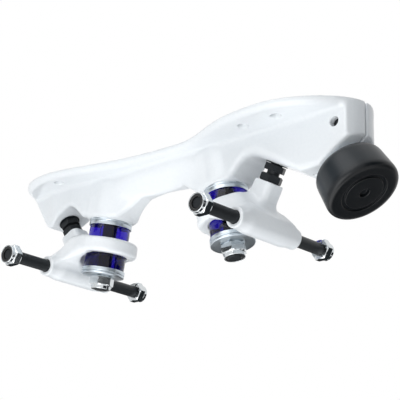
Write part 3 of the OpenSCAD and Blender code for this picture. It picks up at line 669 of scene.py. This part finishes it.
def hanger_field(x, y, z):
    """Tube, body, ring, yoke and neck joined by fillets, then cut for bolt, cushions, pin and axle. The
    factor 0.98 makes up for the slope of a tapered wall, along which the distance would read too long."""
    arms = common((np.hypot(x, z) - arm_radius(y)) * 0.98, np.abs(y) - HANGER_HALF, 0.8)
    body = common(outline_distance(y, z, body_front), outline_distance(x, z, body_side), 4.0)
    king, king_h = about(x, y, z, BOSS_FACE, KING_UP)
    middle = king_h + RING_AT + RING_H / 2
    ring = common(king - RING_R, np.abs(middle) - RING_H / 2, 2.6)
    across = (x - BOSS_FACE[0]) * KING_UP[2] - (z - BOSS_FACE[2]) * KING_UP[0]
    yoke = common(outline_distance(across, y, yoke_plan), np.abs(middle) - RING_H / 2, 3.0)
    pin, pin_h = about(x, y, z, NECK_TOP, PIVOT_UP)
    d = join(join(arms, body, 5.0), join(yoke, ring, 3.0), 9.0)
    d = join(d, hanger_neck(x, y, z, pin_h), 5.0)
    d = cut_away(d, king - RING_HOLE_R, 0.6)
    below = -middle - RING_H / 2
    d = cut_away(d, np.maximum((king - ROOM_LOW_R - ROOM_DRAFT * below) * 0.98, ROOM_GAP - below), 1.2)
    seat_low = np.maximum(king - SEAT_R, middle + RING_H / 2 - SEAT_H)
    seat_high = np.maximum(king - SEAT_R, RING_H / 2 - SEAT_H - middle)
    room_high = np.maximum(king - ROOM_HIGH_R, RING_H / 2 + ROOM_GAP - middle)
    for room in (seat_low, seat_high, room_high):
        d = cut_away(d, room, 0.5)
    d = cut_away(d, np.maximum(pin - PIN_R, -pin_h - PIN_IN), 0.4)
    return cut_away(d, np.hypot(x, z) - PRESS_R, 0.4)


# %% Hanger meshes
grid_mm = 0.6
hanger_points, hanger_faces = skin(hanger_field, (-16, -31, -14), (52, 31, 37), grid_mm)
for end in ENDS:
    points = truck_to_plate(hanger_points, end)
    faces = turn_out(hanger_faces, end == "front")
    make_piece(f"{end}_hanger", "casting", points, faces, powder_white, f"{end}_truck")
print("two hangers of", len(hanger_points), "points")

# %% [markdown]
# ## Turned and hexagonal hardware
# Axles, washers, nuts, pins and the toe stop are all made on a lathe or in a round mould. They could be
# primitives with bevels, but a profile says what the lathe does: distance from the axis against height,
# with its corners rounded, carried round the axis. A hexagon is the same surface, where the distance is
# held back to the hexagon's flats.

# %% Rings of points
def ring_faces(rows, columns):
    """Quads over rings of points: each joins a point to the next in its ring and in the next ring."""
    i, j = np.meshgrid(np.arange(rows - 1), np.arange(columns), indexing="ij")
    k = (j + 1) % columns
    quads = [i * columns + j, i * columns + k, (i + 1) * columns + k, (i + 1) * columns + j]
    return np.stack(quads, -1).reshape(-1, 4)


def closed_bar(rings, low, high):
    """Rings of points (rows, columns, xyz) joined by quads, and closed at each end by a fan from the axis."""
    rows, columns = rings.shape[:2]
    j = np.arange(columns)
    k = (j + 1) % columns
    pole, last = np.full(columns, rows * columns), (rows - 1) * columns
    fans = [np.stack([pole, k, j], -1), np.stack([pole + 1, last + j, last + k], -1)]
    points = np.concatenate([rings.reshape(-1, 3), [[0, 0, low], [0, 0, high]]])
    return points, ring_faces(rows, columns).tolist() + np.concatenate(fans).tolist()


# %% Turned profiles
# Points round a piece: few for small ones, many for large or hexagonal ones.
COARSE, MIDDLE, FINE = 48, 72, 96


def turned(profile, columns, reach=None):
    """A profile carried round the z axis. Point (r, z) goes to (r cos a, r sin a, z) for each angle a.
    Where reach is given, r is at most reach(a): that is how flats are cut. A profile that starts and ends
    on the axis gets one point at each pole; any other profile is a closed loop. Faces point outwards when
    the profile runs anticlockwise, so one with a negative area is taken backwards."""
    profile = np.asarray(profile, float)
    r, z = profile.T
    if (r * np.roll(z, -1) - np.roll(r, -1) * z).sum() < 0:
        profile = profile[::-1]
    on_axis = profile[0, 0] <= 1e-6
    body = profile[1:-1] if on_axis else profile
    a = np.arange(columns) * 2 * math.pi / columns
    r, z = (np.repeat(body[:, [m]], columns, 1) for m in (0, 1))
    if reach is not None:
        r = np.minimum(r, reach(a)[None, :])
    rings = np.stack([r * np.cos(a), r * np.sin(a), z], -1)
    if on_axis:
        return closed_bar(rings, profile[0, 1], profile[-1, 1])
    faces = ring_faces(len(body) + 1, columns) % (len(body) * columns)
    return rings.reshape(-1, 3), faces.tolist()


# %% Hexagons
def hexagon(across_flats):
    """Distance from the axis to a hexagon's edge, seen at angle a, with a corner at angle 0."""

    def reach(a):
        sector = a % (math.pi / 3) - math.pi / 6
        return across_flats / 2 / np.cos(sector)

    return reach


def with_flats(shape, across_flats, low, high=math.inf):
    """A turned shape whose points between two heights are held back to a hexagon's flats."""
    points, faces = shape
    x, y, z = points.T
    a, r = np.arctan2(y, x), np.hypot(x, y)
    held = np.minimum(r, hexagon(across_flats)(a))
    r = np.where((z > low) & (z < high), held, r)
    return np.stack([r * np.cos(a), r * np.sin(a), z], -1), faces


# %% Profiles of bars and rings
def solid_of(steps, edge):
    """A solid turned profile from [r, z] steps, with every corner rounded by edge. It starts and ends on
    the axis."""
    inner = [(r, z, edge) for r, z in steps]
    return rounded([(0, steps[0][1], 0)] + inner + [(0, steps[-1][1], 0)])


def ring_of(inner, outer, low, high, edge):
    """A flat ring's profile with four rounded corners, as a closed loop from the middle of its lower face."""
    start = ((inner + outer) / 2, low, 0)
    corners = [(outer, low, edge), (outer, high, edge), (inner, high, edge), (inner, low, edge)]
    return rounded([start] + corners + [start])[:-1]


# %% Setting a piece on its line
SHARP_ANGLE = math.radians(35)


def set_piece(node, made, shape, material, body, line, end=None, sharp=True, name=None):
    """A turned shape set on a line (origin, direction), in a truck's frame or, with no end, the plate's.
    Edges that turn by more than 35 degrees are marked, so that flats stay flat under smooth shading."""
    points, faces = shape
    points = along(points, *line)
    if end:
        points = truck_to_plate(points, end)
    piece = make_piece(node, made, points, turn_out(faces, end == "front"), material, body, name)
    if sharp:
        piece.data.set_sharp_from_angle(angle=SHARP_ANGLE)
    return piece


# %% [markdown]
# ## Axles and lock nuts
# An axle is a black steel bar, pressed into the hanger's tube and threaded at both ends. The nuts that
# hold the wheels are lock nuts: a hexagon with a collar rolled over a nylon ring, which grips the thread.
# The ring is a piece of its own, because it is black and dull inside the bright nut.

# %% Lock nuts
COLLAR_H, COLLAR_SHARE, COLLAR_WALL, INSERT_H, INSERT_GAP = 2.6, 0.47, 0.7, 2.0, 0.05


def lock_nut(across_flats, bore, height):
    """A lock nut's profile, cut to a hexagon: both ends chamfered at 30 degrees, then the round collar."""
    flat, corner = across_flats / 2, across_flats / math.sqrt(3)
    face, body = flat * 0.97, height - COLLAR_H
    collar = across_flats * COLLAR_SHARE
    seat = collar - COLLAR_WALL
    loop = [
        (bore + 0.5, 0, 0), (face, 0, 0), (corner, (corner - face) * 0.58, 0.1),
        (corner, body - (corner - flat) * 0.5, 0.1), (flat * 0.99, body, 0.2), (collar, body + 0.15, 0.2),
        (collar, height, 0.9), (seat, height, 0.2), (seat, height - INSERT_H, 0.0),
        (bore, height - INSERT_H, 0.1), (bore, 0.4, 0.2), (bore + 0.5, 0, 0),
    ]
    return turned(rounded(loop)[:-1], FINE, hexagon(across_flats))


def nut_ring(across_flats, bore, height):
    """The nylon ring in the collar, its mouth rounded by the thread that was pushed through it."""
    seat = across_flats * COLLAR_SHARE - COLLAR_WALL - INSERT_GAP
    return turned(ring_of(bore, seat, height - INSERT_H + INSERT_GAP, height - 0.3, 0.3), COARSE)


def set_nut(node, across_flats, bore, height, body, line, end):
    """A lock nut and the ring inside it, both on one line and one body."""
    set_piece(node, "turned", lock_nut(across_flats, bore, height), chrome, body, line, end)
    set_piece(f"{node}_insert", "moulded", nut_ring(across_flats, bore, height), nylon, body, line, end)


# %% Axles and their nuts
AXLE_R, THREAD_R, AXLE_END, AXLE_TIP, AXLE_TIP_R = 4.0, 3.6, 62.2, 0.7, 3.2
AXLE_NUT_AF, AXLE_NUT_H = 12.7, 8.0
nut_at, nut_bore = HANGER_HALF + STUB, THREAD_R + CLOSE_ROOM
half_axle = [
    (PRESS_R, HANGER_HALF), (AXLE_R, HANGER_HALF), (AXLE_R, nut_at), (THREAD_R, nut_at),
    (THREAD_R, AXLE_END - AXLE_TIP), (AXLE_TIP_R, AXLE_END),
]
axle_profile = solid_of([(r, -z) for r, z in half_axle[::-1]] + half_axle, 0.15)
axle = turned(axle_profile, COARSE)
axle_line = ((0, 0, 0), (0, 1, 0))
for end in ENDS:
    set_piece(f"{end}_axle", "turned", axle, black_oxide, f"{end}_truck", axle_line, end)
    for side, sign in SIDES.items():
        nut_line = ((0, sign * nut_at, 0), (0, sign, 0))
        set_nut(f"{end}_{side}_axle_nut", AXLE_NUT_AF, nut_bore, AXLE_NUT_H, f"{end}_{side}_nut",
                nut_line, end)
print("axles of", 2 * AXLE_END, "mm with a nut at each end")

# %% [markdown]
# ## Kingpins, washers and retainers
# A kingpin is a bolt whose hexagonal head sits in the plate. It carries a washer and a lipped retainer
# above the upper cushion, and the same two upside down below the lower one. The washers are punched from
# sheet, which rounds their edges; the retainers are pressed, with a lip that holds the cushion.

# %% Kingpins and what they carry
LIP_H, LIP_T, LOOP_START_R = 1.4, 0.7, 9.0
KING_NUT_H, KING_PAST, KING_TIP = 9.0, 9.6, 0.8
lip_low, lip_in = -RETAINER_T - LIP_H, WASHER_R - LIP_T
retainer_profile = rounded([
    (LOOP_START_R, 0, 0), (WASHER_R, 0, 0.5), (WASHER_R, lip_low, 0.25), (lip_in, lip_low, 0.25),
    (lip_in, -RETAINER_T, 0.2), (KING_BORE, -RETAINER_T, 0.2), (KING_BORE, 0, 0.2), (LOOP_START_R, 0, 0),
])[:-1]
washer_profile = ring_of(KING_BORE, WASHER_R, -WASHER_T, 0, 0.7)
king_end, head_top = KING_NUT_AT + KING_PAST, KING_HEAD_AT + KING_HEAD_H
kingpin_profile = solid_of([
    (KING_R - KING_TIP, -king_end), (KING_R, -king_end + KING_TIP), (KING_R, KING_HEAD_AT),
    (KING_CORNER, KING_HEAD_AT), (KING_CORNER, head_top - 0.8), (KING_CORNER - 1.05, head_top)], 0.2)


def king_line(below, up=1.0):
    """The kingpin's line from a point below the boss, upwards or, for pieces set upside down, downwards."""
    return BOSS_FACE - below * KING_UP, up * KING_UP


kingpin = with_flats(turned(kingpin_profile, FINE), KING_AF, KING_HEAD_AT - 0.01)
washer = turned(washer_profile, MIDDLE)
retainer = turned(retainer_profile, MIDDLE)
for end in ENDS:
    set_piece(f"{end}_kingpin", "turned", kingpin, black_oxide, "plate", king_line(0), end)
    set_nut(f"{end}_kingpin_nut", KING_AF, KING_R, KING_NUT_H, "plate", king_line(KING_NUT_AT, -1.0), end)
    for label, line in (("upper", king_line(0)), ("lower", king_line(KING_NUT_AT - WASHER_T))):
        set_piece(f"{end}_{label}_washer", "pressed", washer, zinc_plate, "plate", line, end)
    for label, line in (("upper", king_line(WASHER_T)), ("lower", king_line(KING_NUT_AT - WASHER_T, -1.0))):
        set_piece(f"{end}_{label}_retainer", "pressed", retainer, zinc_plate, "plate", line, end)
print("kingpins of", round(king_end + head_top, 1), "mm")

# %% [markdown]
# ## Cushions
# The cushions are cast urethane barrels. One end sits in a retainer on the plate, the other in the
# hanger's ring, so when a truck tilts the cushion leans between the two. A rigid cushion would cut into
# one of them; here each is left rigid, with its place baked into its mesh, and moves with no body.

# %% Cushions
CUSHION_EDGE, BORE_EDGE = 0.9, 0.5

# A cushion bends between these shares of its height; past them it follows one body alone.
# Shares of a cushion's height near each end. The points there are worked out, but nothing bends the cushion.
NEAR_END, FAR_END = 0.08, 0.92


def cushion_shape():
    """A barrel that hangs from z = 0: its side swells by half a sine wave, between rounded ends."""
    t = np.linspace(0.06, 0.94, 14)
    side = np.stack([CUSHION_R + CUSHION_SWELL * np.sin(math.pi * t), -CUSHION_H * t, 0 * t], -1).tolist()
    top = [(LOOP_START_R, 0, 0), (CUSHION_R, 0, CUSHION_EDGE)]
    bottom = [(CUSHION_R, -CUSHION_H, CUSHION_EDGE), (KING_BORE, -CUSHION_H, BORE_EDGE),
              (KING_BORE, 0, BORE_EDGE), (LOOP_START_R, 0, 0)]
    return turned(rounded(top + side + bottom, 5)[:-1], MIDDLE)


for end in ENDS:
    for label, below, fixed, free in (
        ("upper", UPPER_CUSHION_AT, NEAR_END, FAR_END),
        ("lower", LOWER_CUSHION_AT, FAR_END, NEAR_END),
    ):
        cushion = set_piece(f"{end}_{label}_cushion", "cast", cushion_shape(), urethane[label], None,
                            king_line(below), end, sharp=False)
        held = [king_line(below + CUSHION_H * share)[0] for share in (fixed, free)]
        start, stop = truck_to_plate(held, end) * MM
        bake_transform(cushion)
print("four cushions", CUSHION_H, "mm high")

# %% [markdown]
# ## Pivots
# A pivot pin is screwed into the hanger's neck and held by a thin lock nut. Its ball end turns in a
# rubber cup in the plate. The pin is one profile: thread, hexagon, neck and ball.

# %% Pivot pins
PIN_AF, PIN_NECK_R = 12.0, 3.4
ball_z = PIVOT_GAP + BALL_DEPTH
hex_low, hex_high = PIVOT_GAP - 5, PIVOT_GAP - 1
pin_corner = PIN_AF / math.sqrt(3)
ball_angles = np.linspace(math.asin(PIN_NECK_R / BALL_R), math.pi, 20)[:-1]
ball_side = [(BALL_R * math.sin(a), ball_z - BALL_R * math.cos(a), 0) for a in ball_angles]
pin_profile = rounded([
    (0, -PIN_IN, 0), (PIN_R - 0.6, -PIN_IN, 0), (PIN_R, 0.6 - PIN_IN, 0), (PIN_R, hex_low, 0.1),
    (pin_corner, hex_low, 0), (pin_corner, hex_high, 0), (PIN_R, hex_high, 0.3),
    (PIN_NECK_R, hex_high + 1.4, 0.3), *ball_side, (0, ball_z + BALL_R, 0)])
pivot_pin = with_flats(turned(pin_profile, FINE), PIN_AF, hex_low - 0.1, hex_high + 0.1)
print("pivot ball of", 2 * BALL_R, "mm")

# %% Pivot lock nuts
JAM_AF, JAM_H = 12.7, 5.0
jam_face, jam_corner, jam_mouth = JAM_AF / 2 * 0.97, JAM_AF / math.sqrt(3), PIN_R + 0.4
jam_loop = [
    (jam_mouth, 0, 0), (jam_face, 0, 0), (jam_corner, 0.6, 0.1), (jam_corner, JAM_H - 0.6, 0.1),
    (jam_face, JAM_H, 0), (jam_mouth, JAM_H, 0.1), (PIN_R, JAM_H - 0.4, 0.1), (PIN_R, 0.4, 0.1),
    (jam_mouth, 0, 0),
]
jam_nut = turned(rounded(jam_loop)[:-1], FINE, hexagon(JAM_AF))
print("pivot lock nut", JAM_AF, "mm across flats")

# %% Pivot cups
CUP_LIP, CUP_COLUMNS = 0.3, 64
cup_top, cup_rim, lip_at = PIVOT_GAP + CUP_FLOOR, CUP_R + 0.5, PIVOT_GAP - CUP_LIP
dome_angles = np.linspace(0, math.pi / 2, 10)[:-1]
dome = [(SOCKET_R * math.cos(a), ball_z + SOCKET_R * math.sin(a), 0) for a in dome_angles]
cup_profile = rounded([
    (0, cup_top, 0), (CUP_R, cup_top, 0.8), (CUP_R, PIVOT_GAP, 0), (cup_rim, PIVOT_GAP, 0.1),
    (cup_rim, lip_at, 0.1), (SOCKET_R, lip_at, 0.3), *dome, (0, ball_z + SOCKET_R, 0)])
pivot_cup = turned(cup_profile, CUP_COLUMNS)
print("pivot cup", round(CUP_FLOOR, 2), "mm deep")

# %% Setting the pivots
pivot_line = (NECK_TOP, PIVOT_UP)
for end in ENDS:
    set_piece(f"{end}_pivot_pin", "turned", pivot_pin, black_oxide, f"{end}_truck", pivot_line, end)
    set_piece(f"{end}_pivot_lock_nut", "turned", jam_nut, black_oxide, f"{end}_truck", pivot_line, end)
    set_piece(f"{end}_pivot_cup", "moulded", pivot_cup, rubber, "plate", pivot_line, end)
print("two pivots lean by", round(math.degrees(PIVOT_LEAN)), "degrees")

# %% [markdown]
# ## Toe stop
# The stop is a rubber drum moulded on a threaded steel stem. Its foot has a shallow ring groove and a
# small hole in the middle. The thread shows between the rubber and the plate, so it is cut into the
# stem's surface and not only drawn in the finish. A bolt across the toe's slit pinches the stem.

# %% Toe stop rubber
stop_line = (STOP_FOOT, STOP_UP)
FOOT_R, TOP_R, DRUM_EDGE = 23.6, 21.5, 6.0
GROOVE_IN, GROOVE_OUT, GROOVE_DEPTH = 12.3, 14.7, 1.2
HOLE_IN_FOOT_R, HOLE_IN_FOOT = 3.2, 2.5
BASE_R, BASE_LOW, BASE_HIGH = 13.0, 12.0, 15.0
foot = [
    (0, HOLE_IN_FOOT, 0), (HOLE_IN_FOOT_R, HOLE_IN_FOOT, 0.5), (HOLE_IN_FOOT_R, 0, 0.6), (GROOVE_IN, 0, 0.5),
    (GROOVE_IN, GROOVE_DEPTH, 0.3), (GROOVE_OUT, GROOVE_DEPTH, 0.3), (GROOVE_OUT, 0, 0.5),
]
drum = [(FOOT_R, 0, DRUM_EDGE), (TOP_R, STOP_H, DRUM_EDGE), (STEM_R, STOP_H, 0.3)]
pocket = [(STEM_R, BASE_HIGH, 0), (BASE_R, BASE_HIGH, 0), (BASE_R, BASE_LOW, 0), (0, BASE_LOW, 0)]
stop_shape = turned(rounded(foot + drum + pocket, 8), FINE)
set_piece("toe_stop_rubber", "moulded", stop_shape, rubber, "toe_stop", stop_line, name="toe_stop_moulded")
print("toe stop", 2 * FOOT_R, "mm across its foot")


# %% Toe stop stem and cap
def threaded(radius, low, high, pitch, depth, columns=COARSE, per_pitch=6):
    """A threaded bar: radius less a triangle wave of height against (z / pitch - angle / full turn)."""
    rows = int((high - low) / pitch * per_pitch)
    z = np.linspace(low, high, rows)[:, None]
    a = np.arange(columns)[None] * 2 * math.pi / columns
    wave = np.abs(((z / pitch - a / (2 * math.pi)) % 1) * 2 - 1)
    r = radius - depth * np.clip(wave * 1.3 - 0.15, 0, 1)
    return closed_bar(np.stack([r * np.cos(a), r * np.sin(a), np.broadcast_to(z, r.shape)], -1), low, high)


STEM_PITCH, STEM_DEPTH, CAP_R, CAP_T = 1.6, 0.7, 15.0, 1.6
stem = threaded(STEM_R, BASE_HIGH, STOP_H + STOP_GAP + STEM_IN, STEM_PITCH, STEM_DEPTH)
set_piece("toe_stop_stem", "threaded", stem, zinc_plate, "toe_stop", stop_line, sharp=False)
cap = turned(ring_of(STEM_R, CAP_R, STOP_H, STOP_H + CAP_T, 0.4), MIDDLE)
set_piece("toe_stop_cap", "pressed", cap, zinc_plate, "toe_stop", stop_line)
print("stem", len(stem[0]), "points")

# %% Pinch bolt
PINCH_END, PINCH_TIP, PINCH_SOCKET_R, PINCH_SOCKET = -10.5, 0.6, 2.6, 3.0
pinch_top = PINCH_HEAD_AT + PINCH_HEAD_H
pinch_profile = solid_of([
    (PINCH_R - PINCH_TIP, PINCH_END), (PINCH_R, PINCH_END + PINCH_TIP), (PINCH_R, PINCH_HEAD_AT),
    (PINCH_HEAD_R, PINCH_HEAD_AT), (PINCH_HEAD_R, pinch_top), (PINCH_SOCKET_R, pinch_top),
    (PINCH_SOCKET_R, pinch_top - PINCH_SOCKET)], 0.3)
pinch_line = (PINCH, (0.0, 1.0, 0.0))
set_piece("pinch_bolt", "turned", turned(pinch_profile, COARSE), black_oxide, "plate", pinch_line)
print("pinch bolt across the slit at", PINCH.round(2))

# %% [markdown]
# ## Stage
# A white part on white needs shape from soft light. Four softboxes light it, most of it from the near
# side and below, where the camera is. Chrome shows what stands round it, and against white alone it
# would look like plaster, so black cards stand out of the picture for it to mirror; only the one beyond
# the toe also shades the castings. The camera looks up from below, so the pale floor lies well below it.
# Floor and sky could be lit to pure white, but then they would flood the part with light. They are white
# to the eye only: to rays from the camera, from mirrors and through the cushions.

# %% Black cards
black_card, tree, shader = finish("black_card", Roughness=0.9, Base_Color=colour("#182024"))


def card(name, place, size, shades=False):
    """A black square that faces the plate. Mirrors see it; one that shades also keeps light off the part."""
    bpy.ops.mesh.primitive_plane_add(size=size, location=place)
    obj = bpy.context.object
    obj.name = name
    obj.rotation_euler = Vector(place).to_track_quat("Z", "Y").to_euler()
    obj.visible_camera = False
    obj.visible_diffuse = shades
    obj.visible_transmission = False
    obj.visible_shadow = shades
    obj.data.materials.append(black_card)


card("card_beyond_toe", (1.05, 0.05, 0.05), 0.85, shades=True)
card("card_far_low", (-0.75, 0.85, -0.5), 0.8)
card("card_far_below", (0.1, 0.8, -0.85), 0.8)
card("card_near_left", (-0.85, -0.95, 0.6), 0.6)
card("card_near_right", (0.95, -0.25, 0.42), 0.5)
card("card_far_right", (0.8, 0.85, -0.42), 0.7)
card("card_below", (0.45, -0.25, -0.85), 0.4)


# %% Floor and sky
def white_to_the_eye(tree, lit, surface, kind):
    """White of strength 1 goes to rays from the camera, mirrors and glass, the lit shader to all others."""
    white = add(tree, kind, {"Color": (1, 1, 1, 1), "Strength": 1.0})
    path = add(tree, "ShaderNodeLightPath")
    seen = path.outputs["Is Camera Ray"]
    for ray in ("Is Glossy Ray", "Is Transmission Ray"):
        either = add(tree, "ShaderNodeMath", {"operation": "MAXIMUM"}, {0: seen, 1: path.outputs[ray]})
        seen = either.outputs[0]
    choose = add(tree, "ShaderNodeMixShader", None, {0: seen, 1: lit, 2: white.outputs[0]})
    tree.links.new(choose.outputs[0], surface)


pale_floor, tree, shader = finish("pale_floor", Roughness=0.9, Base_Color=colour("#EEF0F2"))
surface = tree.nodes["Material Output"].inputs["Surface"]
white_to_the_eye(tree, shader.outputs[0], surface, "ShaderNodeEmission")
FLOOR_Z, FLOOR_SIZE = -1.5, 8.0
bpy.ops.mesh.primitive_plane_add(size=FLOOR_SIZE, location=(0, 0, FLOOR_Z))
floor = bpy.context.object
floor.name = "floor"
floor.data.materials.append(pale_floor)

world = bpy.data.worlds.new("studio")
bpy.context.scene.world = world
world.use_nodes = True
sky = world.node_tree.nodes["Background"]
sky.inputs["Color"].default_value = colour("#F4F7FA")
sky.inputs["Strength"].default_value = 0.5
surface = world.node_tree.nodes["World Output"].inputs["Surface"]
white_to_the_eye(world.node_tree, sky.outputs[0], surface, "ShaderNodeBackground")
print("floor", -FLOOR_Z, "m below the sole")

# %% Softboxes
AIM = Vector((0, 0, -0.03))


def softbox(name, place, size, power):
    """A square lamp at a place, turned to face the middle of the part."""
    lamp = bpy.data.lights.new(name, "AREA")
    lamp.size = size
    lamp.energy = power
    obj = bpy.data.objects.new(name, lamp)
    bpy.context.collection.objects.link(obj)
    obj.location = place
    obj.rotation_euler = (AIM - Vector(place)).to_track_quat("-Z", "Y").to_euler()


softbox("softbox_near_low", (0.2, -0.85, -0.6), 0.9, 5.2)
softbox("softbox_near_high", (0.1, -0.9, 0.7), 0.9, 3.9)
softbox("softbox_low", (0.0, -0.1, -1.0), 1.1, 5.0)
softbox("softbox_top", (-0.2, 0.2, 1.1), 1.0, 2.0)
print("softboxes", [lamp.name for lamp in bpy.data.lights])

# %% [markdown]
# ## Camera
# The camera was fitted to the axle ends, nuts, kingpins and sole holes: about 127 mm on a 36 mm frame,
# 0.9 m from the plate, and rolled by a little under one degree.

# %% Camera
eye, target = Vector((0.5959, -0.6374, -0.3280)), Vector((0.0291, 0.0, -0.0332))
roll = math.radians(0.87)
ahead = (target - eye).normalized()
level = ahead.cross(Vector((0, 0, 1))).normalized()
upright = level.cross(ahead)
right = math.cos(roll) * level + math.sin(roll) * upright
up = -math.sin(roll) * level + math.cos(roll) * upright
lens = bpy.data.cameras.new("camera")
lens.sensor_fit = "HORIZONTAL"
lens.sensor_width = 36.0
lens.lens = 127.2
camera = bpy.data.objects.new("camera", lens)
bpy.context.collection.objects.link(camera)
camera.matrix_world = Matrix.Translation(eye) @ Matrix((right, up, -ahead)).transposed().to_4x4()
bpy.context.scene.camera = camera
bpy.context.scene.view_settings.view_transform = "Standard"
print("camera", round((target - eye).length, 3), "m from the plate")
